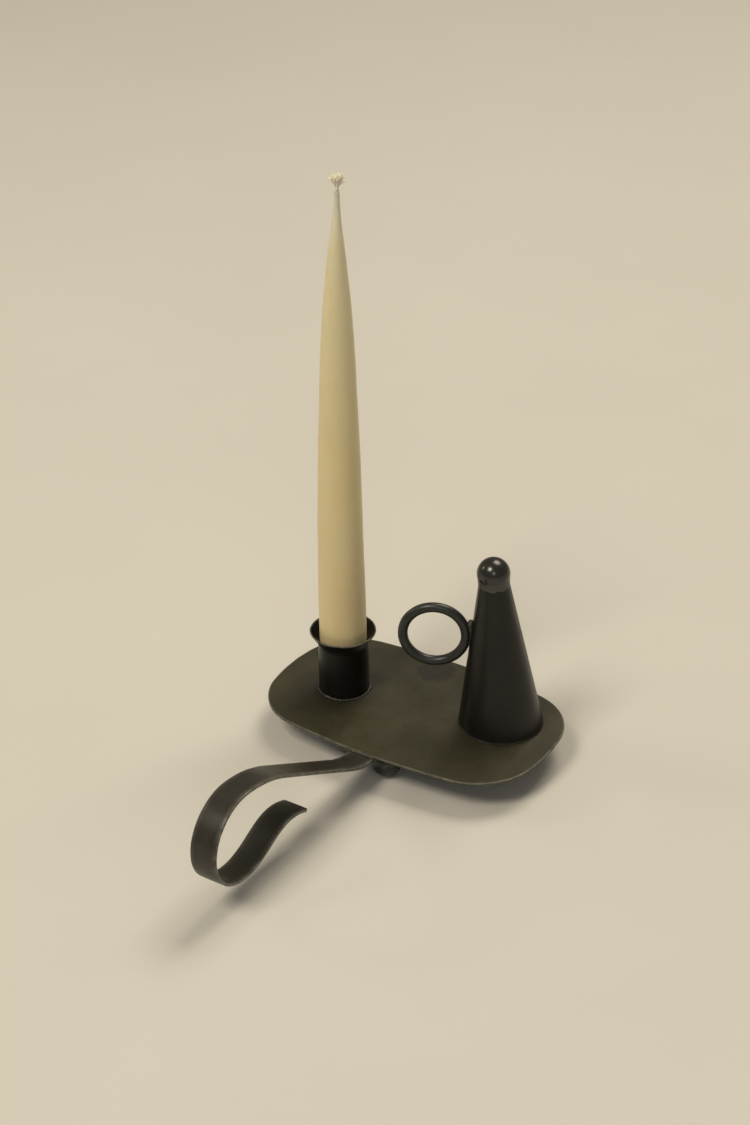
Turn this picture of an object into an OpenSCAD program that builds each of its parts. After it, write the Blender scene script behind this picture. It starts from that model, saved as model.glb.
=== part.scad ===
// Chamberstick: an oblong sheet-iron tray on three ball feet, with a flared
// candle socket, a curled strap handle, a dipped taper candle, and a loose
// conical snuffer with a ball knob and a finger ring.
// Millimetres. +X runs along the tray from the socket to the snuffer, the
// handle points along -Y, +Z is up. The origin is on the table, under the
// middle of the whole object's outline.

/* [Tray] */
// Length of the tray along X
tray_len = 149; // [144:0.2:156]
// Width of the tray across its bowed long sides
tray_wid = 90; // [88:0.2:94]
// Radius of the tray's rounded corners
tray_corner_r = 32; // [26:0.5:36]
// Radius of the slight bow along each long side
tray_bow_r = 350; // [300:1:500]
// Radius of the bow across each end
tray_end_r = 98; // [90:1:140]
// Thickness of the tray's sheet
tray_t = 1.4; // [1:0.1:2]

/* [Feet] */
// Diameter of the steel balls that serve as feet and as the snuffer's knob
ball_d = 15.875; // [14:0.005:18]
// Depth of the small flat ground at the top and bottom of each foot
foot_flat = 0.4; // [0.3:0.05:0.8]
// Front foot, distance along the tray from its middle
foot_front_x = 5.0; // [4:0.5:12]
// Front foot, distance across the tray from its middle
foot_front_y = -33.4; // [-34:0.2:-30]
// Back feet, distance along the tray from its middle
foot_back_x = 52; // [40:1:56]
// Back feet, distance across the tray from its middle
foot_back_y = 19; // [10:1:24]

/* [Candle socket] */
// Socket axis, distance along the tray from its middle
socket_x = -39.7; // [-46:0.1:-30]
// Socket axis, distance across the tray from its middle
socket_y = -2.3; // [-8:0.1:8]
// Outer radius of the socket tube
socket_r = 12.5; // [12.4:0.05:14]
// Wall of the socket tube
socket_wall = 0.85; // [0.7:0.05:0.9]
// Height of the socket from the tray to the rim of its mouth
socket_h = 34.2; // [30:0.2:40]
// Outer radius of the flared mouth's rim
mouth_r = 16.6; // [15.5:0.1:18]
// Height of the flare, from the plain tube to the rim
mouth_h = 7.6; // [6:0.2:10]

/* [Candle] */
// Radius of the candle inside the socket
candle_foot_r = 11.4; // [11:0.05:11.5]
// Radius of the candle at the socket's mouth
candle_r = 11.62; // [11:0.02:12]
// Radius of the braided wick
wick_r = 1.0; // [0.8:0.05:1.05]
// Radius of the frayed end of the wick
tuft_r = 3.7; // [3:0.1:4.5]

/* [Handle] */
// Width of the strap
strap_w = 13.6; // [12:0.1:16]
// Thickness of the strap
strap_t = 1.6; // [1.2:0.1:2]
// Middle of the strap along the tray
strap_x = -1.6; // [-3:0.1:0]
// How far the strap is lapped under the tray's front edge
strap_lap = 4.8; // [4:0.1:5]
// First bend, upwards, radius
bend1_r = 33; // [28:1:40]
// First bend, angle
bend1_a = 29; // [26:0.5:31]
// Straight rise after the first bend
rise_len = 63.6; // [56:0.2:70]
// Crest, the first and widest part of the curl, radius
bend2_r = 69; // [60:1:80]
// Crest, angle
bend2_a = 25.4; // [23:0.2:28]
// Turn down at the far end, radius
bend3_r = 23.4; // [21:0.2:26]
// Turn down at the far end, angle
bend3_a = 75; // [70:0.5:80]
// Bottom of the curl, radius
bend4_r = 20.5; // [19:0.1:22]
// Bottom of the curl, angle
bend4_a = 92.4; // [88:0.2:96]
// Way back up, radius
bend5_r = 30; // [26:0.5:34]
// Way back up, angle
bend5_a = 40.5; // [38:0.5:44]
// Straight part of the way back
back_len = 11.3; // [8:0.1:14]
// Turned-over end of the strap, radius
bend6_r = 25; // [22:0.5:30]
// Turned-over end of the strap, angle
bend6_a = 48.8; // [44:0.2:54]
// Straight end of the strap
tip_len = 3.8; // [2:0.1:6]

/* [Snuffer] */
// Middle of the cone's mouth, distance along the tray
snuffer_x = 41.7; // [34:0.1:46]
// Middle of the cone's mouth, distance across the tray
snuffer_y = 12.4; // [6:0.1:14]
// Outer radius of the cone's mouth
cone_r = 20.7; // [19:0.1:22]
// Outer radius of the cone's top
cone_top_r = 7.3; // [7:0.05:7.6]
// Height of the cone along its axis
cone_h = 78.8; // [72:0.2:84]
// Wall of the cone
cone_wall = 1.2; // [1:0.1:1.4]
// Lean of the cone towards its ring, in degrees
cone_lean = 3; // [0:0.5:4]
// Direction in which the ring points, in degrees from +X
ring_dir = 205.5; // [195:0.5:215]
// Diameter of the ring's wire
ring_wire = 4.8; // [4:0.1:5.2]
// Inside diameter of the ring
ring_bore = 25.4; // [24:0.1:28]
// Height of the ring's centre along the cone's axis
ring_z = 49.8; // [44:0.2:56]
// Height of the weld between the ring and the cone
weld_h = 11; // [8:0.5:12]

/* [Hidden] */
$fn = 96;
eps = 0.01;
ball_r = ball_d / 2;
foot_h = ball_d - 2 * foot_flat;      // height of a foot between its two flats
tray_z = foot_h;                      // underside of the tray
tray_top = foot_h + tray_t;           // top of the tray

// ---- strap path, in the plane through the middle of the strap ----
// A point is [distance out from the tray's middle, height, heading].
// A step is ["line", length] or ["bend", radius, angle]; a positive angle turns upwards.
strap_steps = [
    ["line", strap_lap],
    ["bend", bend1_r, bend1_a],
    ["line", rise_len],
    ["bend", bend2_r, -bend2_a],
    ["bend", bend3_r, -bend3_a],
    ["bend", bend4_r, -bend4_a],
    ["bend", bend5_r, -bend5_a],
    ["line", back_len],
    ["bend", bend6_r, bend6_a],
    ["line", tip_len]
];
function turn(s) = s[2] < 0 ? -1 : 1;
function centre_of(p, s) = [p[0] - turn(s) * s[1] * sin(p[2]), p[1] + turn(s) * s[1] * cos(p[2])];
function after(p, s) =
    s[0] == "line"
        ? [p[0] + s[1] * cos(p[2]), p[1] + s[1] * sin(p[2]), p[2]]
        : let (c = centre_of(p, s), h = p[2] + s[2])
          [c[0] + turn(s) * s[1] * sin(h), c[1] - turn(s) * s[1] * cos(h), h];
function point_at(i) = i == 0
    ? [tray_wid / 2 - strap_lap - 0.6, tray_z - strap_t / 2, 0]
    : after(point_at(i - 1), strap_steps[i - 1]);

// Furthest reach of the strap: the side of the bend in which it points straight down
strap_reach = centre_of(point_at(5), strap_steps[5])[0] + bend4_r + strap_t / 2;
// The tray's middle, so that the origin is under the middle of the outline
tray_y = (strap_reach - tray_wid / 2) / 2;

// Candle, heights above the tray and radii
candle_profile = [
    [0, candle_foot_r - 0.4], [1, candle_foot_r], [26, candle_foot_r], [30, candle_r],
    [48, 11.56], [66, 11.32], [84, 11.0], [108, 10.52], [134, 9.94], [160, 8.95],
    [184, 7.98], [200, 7.1], [208, 6.5], [220, 5.38], [232, 4.2], [240, 3.25],
    [246, 2.4], [252, 1.85], [258, 1.45], [263, 1.25]
];

module placed() { translate([0, tray_y, 0]) children(); }

// ---- tray ----
// A quarter of the outline runs through three tangent arcs: half of the long side's
// bow, the corner, and half of the end's bow. The corner's centre lies at a known
// distance from the centres of the other two.
bow_c = [0, tray_wid / 2 - tray_bow_r];
end_c = [tray_len / 2 - tray_end_r, 0];
to_bow = tray_bow_r - tray_corner_r;
to_end = tray_end_r - tray_corner_r;
apart = norm(end_c - bow_c);
along = (end_c - bow_c) / apart;
foot_of = (to_bow * to_bow - to_end * to_end + apart * apart) / (2 * apart);
corner_c = bow_c + foot_of * along
    + sqrt(to_bow * to_bow - foot_of * foot_of) * [along[1], -along[0]];
bow_a = atan2(corner_c[1] - bow_c[1], corner_c[0] - bow_c[0]);
end_a = atan2(corner_c[1] - end_c[1], corner_c[0] - end_c[0]);
function arc(c, r, a0, a1, n) = [for (k = [0 : n - 1]) let (a = a0 + (a1 - a0) * k / n) c + r * [cos(a), sin(a)]];
quarter = concat(
    arc(end_c, tray_end_r, 0, end_a, 5),
    arc(corner_c, tray_corner_r, end_a, bow_a, 24),
    arc(bow_c, tray_bow_r, bow_a, 90, 5));
module tray_outline() {
    n = len(quarter);
    polygon(concat(
        [for (k = [0 : n - 1]) quarter[k]],
        [[0, tray_wid / 2]], [for (k = [n - 1 : -1 : 1]) [-quarter[k][0], quarter[k][1]]],
        [[-tray_len / 2, 0]], [for (k = [1 : n - 1]) [-quarter[k][0], -quarter[k][1]]],
        [[0, -tray_wid / 2]], [for (k = [n - 1 : -1 : 1]) [quarter[k][0], -quarter[k][1]]]));
}

module tray() {
    color([0.16, 0.155, 0.135])
    placed() translate([0, 0, tray_z]) linear_extrude(height = tray_t) tray_outline();
}

// ---- feet ----
module foot(x, y) {
    color([0.13, 0.13, 0.12])
    placed() translate([x, y, 0])
    intersection() {
        translate([0, 0, ball_r - foot_flat]) sphere(r = ball_r);
        cylinder(r = ball_r + 1, h = foot_h);
    }
}
module foot_front() { foot(foot_front_x, foot_front_y); }
module foot_left() { foot(-foot_back_x, foot_back_y); }
module foot_right() { foot(foot_back_x, foot_back_y); }

// ---- candle socket ----
module candle_socket() {
    ri = socket_r - socket_wall;
    z1 = socket_h - mouth_h;
    color([0.13, 0.13, 0.12])
    placed() translate([socket_x, socket_y, tray_top])
    rotate_extrude()
    polygon([
        [ri, 0], [socket_r, 0],
        [socket_r, z1], [socket_r + 0.25, z1 + 1.4], [socket_r + 0.95, z1 + 3.0],
        [mouth_r - 0.15, socket_h - 0.75], [mouth_r, socket_h - 0.35], [mouth_r - 0.25, socket_h],
        [mouth_r - 0.75, socket_h - 0.1],
        [ri + 0.95, z1 + 3.4], [ri + 0.25, z1 + 1.7], [ri, z1]
    ]);
}

// ---- handle ----
// One side of the strap, at a distance d to the left of its middle line,
// with a point at least every 3 degrees of bend
function partway(p, s, f) = s[0] == "line"
    ? after(p, ["line", f * s[1]])
    : after(p, ["bend", s[1], f * s[2]]);
function parts_of(s) = s[0] == "line" ? 1 : ceil(abs(s[2]) / 3);
function beside(q, d) = [q[0] - d * sin(q[2]), q[1] + d * cos(q[2])];
function strap_side(d) = concat(
    [for (i = [0 : len(strap_steps) - 1])
        let (p = point_at(i), s = strap_steps[i], n = parts_of(s))
        for (k = [0 : n - 1]) beside(partway(p, s, k / n), d)],
    [beside(point_at(len(strap_steps)), d)]);
function backwards(v) = [for (i = [len(v) - 1 : -1 : 0]) v[i]];

module strap_handle() {
    color([0.15, 0.15, 0.135])
    placed() translate([strap_x, 0, 0]) rotate([90, 0, -90])
    linear_extrude(height = strap_w, center = true)
        polygon(concat(strap_side(-strap_t / 2), backwards(strap_side(strap_t / 2))));
}

// ---- candle and wick ----
module candle() {
    color([0.86, 0.81, 0.6])
    placed() translate([socket_x, socket_y, tray_top])
    rotate_extrude()
    polygon(concat(
        [for (q = candle_profile) [q[1], q[0]]],
        [[wick_r + 0.02, candle_profile[len(candle_profile) - 1][0]], [wick_r + 0.02, 0]]
    ));
}

module wick() {
    top = candle_profile[len(candle_profile) - 1][0];
    color([0.9, 0.88, 0.8])
    placed() translate([socket_x, socket_y, tray_top])
    rotate_extrude()
    polygon([
        [0, 0], [wick_r, 0], [wick_r, top + 2.6], [wick_r + 0.6, top + 3.6],
        [tuft_r, top + 5], [tuft_r - 0.2, top + 6.8], [tuft_r - 1.8, top + 7.8], [0, top + 7.8]
    ]);
}

// ---- snuffer ----
// The snuffer's own frame: its axis leans towards the ring, and the ring lies in its XZ plane
module snuffer_frame() {
    placed() translate([snuffer_x, snuffer_y, tray_top])
    rotate([0, 0, ring_dir]) rotate([0, cone_lean, 0]) children();
}
slope = (cone_r - cone_top_r) / cone_h;
below = 4;      // the cone runs on below the tray and is trimmed flat on it
knob_z = cone_h + sqrt(ball_r * ball_r - pow(cone_top_r - cone_wall + 0.05, 2));

module cone_outside() {
    translate([0, 0, -below]) cylinder(r1 = cone_r + slope * below, r2 = cone_top_r, h = cone_h + below);
}
module cone_inside() {
    translate([0, 0, -below - 1])
        cylinder(r1 = cone_r - cone_wall + slope * (below + 1), r2 = cone_top_r - cone_wall - slope * 1,
                 h = cone_h + below + 2);
}

module snuffer_cone() {
    color([0.14, 0.14, 0.125])
    intersection() {
        snuffer_frame() difference() {
            cone_outside();
            cone_inside();
            translate([0, 0, knob_z]) sphere(r = ball_r);
        }
        placed() translate([snuffer_x - 40, snuffer_y - 40, tray_top]) cube([80, 80, 120]);
    }
}

module snuffer_knob() {
    color([0.2, 0.2, 0.19])
    snuffer_frame() translate([0, 0, knob_z]) sphere(r = ball_r);
}

// The ring bites 0.2 mm into the flank and is welded there
ring_mid_r = (ring_bore + ring_wire) / 2;
flank = cone_r - slope * ring_z;
ring_x = flank + (ring_mid_r + ring_wire / 2 - 0.2) * sqrt(1 + slope * slope);

module snuffer_ring() {
    color([0.15, 0.15, 0.16])
    snuffer_frame() difference() {
        union() {
            translate([ring_x, 0, ring_z]) rotate([90, 0, 0])
                rotate_extrude() translate([ring_mid_r, 0]) circle(d = ring_wire, $fn = 48);
            translate([flank - 3, -1.6, ring_z - weld_h / 2 + 1])
                cube([ring_x - ring_mid_r - flank + 3, 3.2, weld_h]);
        }
        cone_outside();
    }
}

tray();
candle_socket();
strap_handle();
foot_front();
foot_left();
foot_right();
candle();
wick();
snuffer_cone();
snuffer_knob();
snuffer_ring();
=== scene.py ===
import math

import bmesh
import bpy
import numpy as np
from mathutils import Matrix, Vector, noise


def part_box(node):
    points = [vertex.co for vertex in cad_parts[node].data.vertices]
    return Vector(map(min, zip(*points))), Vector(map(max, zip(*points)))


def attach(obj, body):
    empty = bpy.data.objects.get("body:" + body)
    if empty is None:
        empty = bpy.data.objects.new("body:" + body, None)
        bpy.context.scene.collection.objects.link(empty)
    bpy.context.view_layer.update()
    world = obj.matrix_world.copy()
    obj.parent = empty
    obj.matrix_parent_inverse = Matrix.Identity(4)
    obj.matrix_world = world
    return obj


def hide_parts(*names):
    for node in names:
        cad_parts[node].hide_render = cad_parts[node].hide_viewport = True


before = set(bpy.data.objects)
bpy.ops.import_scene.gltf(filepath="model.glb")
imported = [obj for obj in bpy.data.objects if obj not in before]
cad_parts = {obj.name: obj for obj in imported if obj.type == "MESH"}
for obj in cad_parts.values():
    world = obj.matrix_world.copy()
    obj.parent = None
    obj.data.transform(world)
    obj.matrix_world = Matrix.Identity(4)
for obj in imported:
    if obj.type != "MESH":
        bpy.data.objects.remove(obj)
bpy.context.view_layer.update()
MM = 0.001

# ---------------------------------------------------------------- sizes, in millimetres, in the row frame
lo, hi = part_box("tray")
TRAY_Y = (lo.y + hi.y) / 2 / MM          # middle of the tray
TRAY_Z, TRAY_TOP = lo.z / MM, hi.z / MM  # underside and top of the tray
TRAY_LEN, TRAY_WID = 149.0, 90.0
CORNER_R, BOW_R, END_R = 32.0, 350.0, 98.0
BALL_R, FOOT_FLAT = 15.875 / 2, 0.4
FEET = {"foot_front": (5.0, -33.4), "foot_left": (-52.0, 19.0), "foot_right": (52.0, 19.0)}
SOCKET = (-39.7, TRAY_Y - 2.3)
SOCKET_R, SOCKET_WALL, SOCKET_H = 12.5, 0.85, 34.2
STRAP_X, STRAP_W, STRAP_T = -1.6, 13.6, 1.6
SNUFFER = (41.7, TRAY_Y + 12.4)
LEAN, RING_DIR = math.radians(3.0), math.radians(205.5)
CONE_R, CONE_TOP_R, CONE_H, CONE_WALL = 20.7, 7.3, 78.8, 1.2
SLOPE = (CONE_R - CONE_TOP_R) / CONE_H
KNOB_Z = CONE_H + math.sqrt(BALL_R ** 2 - (CONE_TOP_R - CONE_WALL + 0.05) ** 2)
RING_MID, WIRE_R, RING_Z = (25.4 + 4.8) / 2, 2.4, 49.8
FLANK = CONE_R - SLOPE * RING_Z
RING_X = FLANK + (RING_MID + WIRE_R - 0.2) * math.sqrt(1 + SLOPE ** 2)


# ---------------------------------------------------------------- mesh helpers
def rough(points, scale, seed=0.0):
    """Smooth noise from -1 to 1 at each point; scale is features per millimetre."""
    return np.array([noise.noise(Vector((x * scale + seed, y * scale - seed * 1.7, z * scale + seed * 0.3)))
                     for x, y, z in np.asarray(points, float)])


def make(name, verts, faces, material, body, node=None, attributes=None, sharp=40.0, turn=True):
    """A piece from points in millimetres in the row frame, riding on a body."""
    mesh = bpy.data.meshes.new(name)
    mesh.from_pydata((np.asarray(verts, float) * MM).tolist(), [], faces)
    if turn:
        bm = bmesh.new()
        bm.from_mesh(mesh)
        bmesh.ops.recalc_face_normals(bm, faces=bm.faces)
        bm.to_mesh(mesh)
        bm.free()
    mesh.shade_smooth()
    mesh.set_sharp_from_angle(angle=math.radians(sharp))
    for key, values in (attributes or {}).items():
        layer = mesh.attributes.new(key, "FLOAT", "POINT")
        layer.data.foreach_set("value", np.asarray(values, np.float32))
    mesh.materials.append(material)
    obj = bpy.data.objects.new(name, mesh)
    bpy.context.scene.collection.objects.link(obj)
    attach(obj, body)
    if node:
        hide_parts(node)
    return obj


def tube_faces(rings, count, closed_rings=False, closed_count=True, start=0):
    """Quads over rings of count points each."""
    faces = []
    for i in range(rings if closed_rings else rings - 1):
        a, b = start + i * count, start + ((i + 1) % rings) * count
        for j in range(count if closed_count else count - 1):
            k = (j + 1) % count
            faces.append((a + j, a + k, b + k, b + j))
    return faces


def lathe(profile, segments, centre=(0.0, 0.0, 0.0), change=None):
    """Turns a closed outline of (radius, height) round the vertical through centre. change(angle, radius, height) gives the radius and height used."""
    profile = np.asarray(profile, float)
    angles = np.linspace(0, 2 * math.pi, segments, endpoint=False)
    verts = []
    for r, z in profile:
        rr, zz = (np.full(segments, r), np.full(segments, z)) if change is None else change(angles, r, z)
        verts.append(np.stack([rr * np.cos(angles), rr * np.sin(angles), zz], 1))
    verts = np.concatenate(verts) + np.asarray(centre, float)
    return verts, tube_faces(len(profile), segments, closed_rings=True)


def spline(points, per=8, closed=False):
    """Points on a smooth curve through the given ones."""
    p = np.asarray(points, float)
    n = len(p)
    out = []
    for i in range(n if closed else n - 1):
        if closed:
            a, b, c, d = p[i - 1], p[i], p[(i + 1) % n], p[(i + 2) % n]
        else:
            a, b, c, d = p[max(i - 1, 0)], p[i], p[i + 1], p[min(i + 2, n - 1)]
        for k in range(per):
            t = k / per
            out.append(0.5 * (2 * b + (c - a) * t + (2 * a - 5 * b + 4 * c - d) * t ** 2 + (3 * b - a - 3 * c + d) * t ** 3))
    if not closed:
        out.append(p[-1])
    return np.array(out)


def smooth_line(x, xs, ys):
    """A smooth, overshoot-free curve through (xs, ys), read at x."""
    xs, ys = np.asarray(xs, float), np.asarray(ys, float)
    h, d = np.diff(xs), np.diff(ys) / np.diff(xs)
    m = np.zeros(len(xs))
    m[0], m[-1] = d[0], d[-1]
    for i in range(1, len(xs) - 1):
        if d[i - 1] * d[i] > 0:
            w1, w2 = 2 * h[i] + h[i - 1], h[i] + 2 * h[i - 1]
            m[i] = (w1 + w2) / (w1 / d[i - 1] + w2 / d[i])
    x = np.clip(np.asarray(x, float), xs[0], xs[-1])
    i = np.clip(np.searchsorted(xs, x, side="right") - 1, 0, len(xs) - 2)
    t = (x - xs[i]) / h[i]
    return ((1 + 2 * t) * (1 - t) ** 2 * ys[i] + t * (1 - t) ** 2 * h[i] * m[i]
            + t ** 2 * (3 - 2 * t) * ys[i + 1] + t ** 2 * (t - 1) * h[i] * m[i + 1])


def blobs(name, balls, material, body, voxel=0.16, smooth=6):
    """Weld metal: many small balls (x, y, z, radius), fused into one skin and smoothed."""
    bm = bmesh.new()
    for x, y, z, r in balls:
        bmesh.ops.create_icosphere(bm, subdivisions=2, radius=r * MM, matrix=Matrix.Translation(Vector((x, y, z)) * MM))
    mesh = bpy.data.meshes.new(name + "_raw")
    bm.to_mesh(mesh)
    bm.free()
    raw = bpy.data.objects.new(name + "_raw", mesh)
    bpy.context.scene.collection.objects.link(raw)
    remesh = raw.modifiers.new("fuse", "REMESH")
    remesh.mode, remesh.voxel_size = "VOXEL", voxel * MM
    even = raw.modifiers.new("even", "SMOOTH")
    even.factor, even.iterations = 0.5, smooth
    bpy.context.view_layer.update()
    fused = bpy.data.meshes.new_from_object(raw.evaluated_get(bpy.context.evaluated_depsgraph_get()))
    bpy.data.objects.remove(raw)
    fused.name = name
    fused.shade_smooth()
    fused.materials.clear()
    fused.materials.append(material)
    obj = bpy.data.objects.new(name, fused)
    bpy.context.scene.collection.objects.link(obj)
    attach(obj, body)
    return obj


# ---------------------------------------------------------------- material helpers
class Nodes:
    """Builds one node material, a node at a time."""

    def __init__(self, name):
        self.material = bpy.data.materials.new(name)
        self.material.use_nodes = True
        self.tree = self.material.node_tree
        self.tree.nodes.clear()
        self.coords = self.tree.nodes.new("ShaderNodeTexCoord").outputs["Object"]

    def add(self, kind, inputs=None, **settings):
        n = self.tree.nodes.new("ShaderNode" + kind)
        for key, value in settings.items():
            setattr(n, key, value)
        for key, value in (inputs or {}).items():
            if isinstance(value, bpy.types.NodeSocket):
                self.tree.links.new(value, n.inputs[key])
            else:
                n.inputs[key].default_value = value
        return n

    def stretch(self, scale, place=(0, 0, 0), turn=(0, 0, 0)):
        return self.add("Mapping", {"Vector": self.coords, "Scale": scale, "Location": place, "Rotation": turn}).outputs[0]

    def noise(self, scale, detail=4.0, rough=0.55, coords=None, distortion=0.0):
        return self.add("TexNoise", {"Vector": coords or self.coords, "Scale": scale, "Detail": detail,
                                     "Roughness": rough, "Distortion": distortion}).outputs["Fac"]

    def steps(self, value, stops, interpolation="LINEAR"):
        """A colour ramp; stops are (place, colour or grey)."""
        n = self.add("ValToRGB", {"Fac": value})
        n.color_ramp.interpolation = interpolation
        while len(n.color_ramp.elements) < len(stops):
            n.color_ramp.elements.new(0.5)
        for e, (place, colour) in zip(n.color_ramp.elements, stops):
            e.position = place
            e.color = (colour,) * 3 + (1,) if isinstance(colour, (int, float)) else tuple(colour) + (1,)
        return n.outputs["Color"]

    def span(self, value, a, b, to_a, to_b, clamp=True):
        return self.add("MapRange", {"Value": value, "From Min": a, "From Max": b, "To Min": to_a, "To Max": to_b}, clamp=clamp).outputs[0]

    def maths(self, operation, a, b=0.0, clamp=False):
        n = self.add("Math", {0: a, 1: b}, operation=operation)
        n.use_clamp = clamp
        return n.outputs[0]

    def mix(self, share, a, b, blend="MIX"):
        n = self.add("Mix", data_type="RGBA", blend_type=blend)
        for key, value in ((0, share), (6, a), (7, b)):
            if isinstance(value, bpy.types.NodeSocket):
                self.tree.links.new(value, n.inputs[key])
            else:
                n.inputs[key].default_value = value if key == 0 else tuple(value) + (1,)
        return n.outputs[2]

    def attribute(self, name):
        return self.add("Attribute", attribute_name=name).outputs["Fac"]

    def finish(self, inputs, **settings):
        shader = self.add("BsdfPrincipled", inputs, **settings)
        out = self.tree.nodes.new("ShaderNodeOutputMaterial")
        self.tree.links.new(shader.outputs[0], out.inputs["Surface"])
        return self.material


def iron(name, colour, pale, brown, gloss=(0.36, 0.5), specular=0.35, grain=0.5, dents=0.5, worn=(0.17, 0.165, 0.14),
         dust_and_glints=0.3, painted_reflection_and_disc=None, streaks=None):
    """Blackened iron under wax: clouds of oxide, a little brown, fine scale, rub marks, pale specks of dust and painted
    glints of weld spatter, brighter worn edges, and an optional overlay that can hold painted reflection.
    """
    m = Nodes(name)
    clouds = m.noise(38, 5, 0.6, distortion=0.4)
    patches = m.noise(120, 4, 0.62, coords=m.stretch((1, 1, 1), (0.31, 0.12, 0.4)))
    fine = m.noise(1500, 3, 0.6)
    scale_ = m.noise(520, 5, 0.65, coords=m.stretch((1, 1, 1), (0.11, 0.52, 0.2)))
    tone = m.mix(m.steps(clouds, [(0.32, 0.0), (0.68, 1.0)]), colour, pale)
    tone = m.mix(m.maths("MULTIPLY", m.span(patches, 0.5, 0.72, 0.0, 0.75), 0.8), tone, brown)
    tone = m.mix(m.span(fine, 0.3, 0.75, 0.0, 0.35), tone, tuple(c * 0.45 for c in colour))
    # an optional overlay: on the tray, a round dark disc and a painted reflection of the socket
    if painted_reflection_and_disc:
        tone = painted_reflection_and_disc(m, tone)
    # pale specks: dust, and painted glints that stand in for tiny weld spatter beads
    specks = m.add("TexVoronoi", {"Vector": m.coords, "Scale": 330.0, "Randomness": 1.0}, feature="F1")
    speck = m.span(specks.outputs["Distance"], 0.045, 0.075, 1.0, 0.0)
    keep = m.add("SeparateColor", {"Color": specks.outputs["Color"]}).outputs[0]
    speck = m.maths("MULTIPLY", speck, m.span(keep, 0.93, 0.94, 0.0, dust_and_glints))
    tone = m.mix(speck, tone, (0.2, 0.185, 0.15))
    edge = m.maths("MULTIPLY", m.attribute("wear"), m.span(m.noise(210, 4, 0.6), 0.3, 0.62, 0.15, 1.0), clamp=True)
    tone = m.mix(edge, tone, worn)
    rough_ = m.span(m.noise(75, 5, 0.65, coords=m.stretch((1, 1, 1), (0.7, 0.2, 0.9))), 0.3, 0.7, gloss[0], gloss[1])
    rough_ = m.maths("ADD", rough_, m.span(fine, 0.3, 0.7, -0.03, 0.04))
    rough_ = m.maths("ADD", rough_, m.maths("MULTIPLY", edge, -0.06), clamp=True)
    along = streaks or (60, 900, 900)
    hair = m.noise(1.0, 2, 0.5, coords=m.stretch(along, (0.4, 0.1, 0.3), (0, 0, 0.35)))
    height = m.maths("ADD", m.maths("MULTIPLY", scale_, 0.55 * grain), m.maths("MULTIPLY", fine, 0.25 * grain))
    height = m.maths("ADD", height, m.maths("MULTIPLY", hair, 0.14 * grain))
    height = m.maths("ADD", height, m.maths("MULTIPLY", m.noise(95, 3, 0.5), 1.6 * dents))
    height = m.maths("ADD", height, m.maths("MULTIPLY", speck, 0.5))
    bump = m.add("Bump", {"Strength": 0.32, "Distance": 0.0002, "Height": height}).outputs[0]
    return m.finish({"Base Color": tone, "Roughness": rough_, "Normal": bump, "Metallic": 0.0,
                     "IOR": 1.5, "Specular IOR Level": specular})


def wax():
    """Dipped ivory wax: warm at the foot, paler towards the tip, cloudy, with a soft bloom and a few specks."""
    m = Nodes("candle_wax")
    height = m.add("SeparateXYZ", {"Vector": m.coords}).outputs["Z"]
    up = m.span(height, 0.05, 0.285, 0.0, 1.0)
    up = m.maths("ADD", up, m.span(m.noise(30, 3, 0.5), 0.3, 0.7, -0.03, 0.03), clamp=True)
    tone = m.steps(up, [(0.0, (0.68, 0.555, 0.31)), (0.45, (0.665, 0.555, 0.315)), (0.74, (0.66, 0.575, 0.37)),
                        (0.9, (0.69, 0.635, 0.475)), (1.0, (0.75, 0.71, 0.58))])
    clouds = m.noise(1.0, 4, 0.55, coords=m.stretch((70, 70, 22), (0.2, 0.4, 0.1)))
    tone = m.mix(m.span(clouds, 0.35, 0.7, 0.0, 0.35), tone, (0.74, 0.655, 0.4))
    cooler = m.noise(160, 3, 0.6, coords=m.stretch((1, 1, 0.5), (0.9, 0.3, 0.6)))
    tone = m.mix(m.span(cooler, 0.5, 0.75, 0.0, 0.22), tone, (0.6, 0.47, 0.21))
    specks = m.add("TexVoronoi", {"Vector": m.coords, "Scale": 150.0, "Randomness": 1.0}, feature="F1")
    speck = m.span(specks.outputs["Distance"], 0.03, 0.05, 1.0, 0.0)
    keep = m.add("SeparateColor", {"Color": specks.outputs["Color"]}).outputs[0]
    speck = m.maths("MULTIPLY", speck, m.span(keep, 0.95, 0.96, 0.0, 0.35))
    tone = m.mix(speck, tone, (0.42, 0.32, 0.16))
    rough_ = m.span(m.noise(90, 4, 0.6), 0.3, 0.7, 0.42, 0.56)
    rise = m.maths("ADD", m.maths("MULTIPLY", m.noise(1.0, 3, 0.5, coords=m.stretch((150, 150, 30))), 1.2),
                   m.maths("MULTIPLY", m.noise(900, 3, 0.6), 0.18))
    bump = m.add("Bump", {"Strength": 0.16, "Distance": 0.0003, "Height": rise}).outputs[0]
    return m.finish({"Base Color": tone, "Roughness": rough_, "Normal": bump, "IOR": 1.44, "Specular IOR Level": 0.4,
                     "Subsurface Weight": 0.35, "Subsurface Radius": (1.0, 0.75, 0.42), "Subsurface Scale": 0.0045,
                     "Sheen Weight": 0.06, "Sheen Roughness": 0.5})


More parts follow.
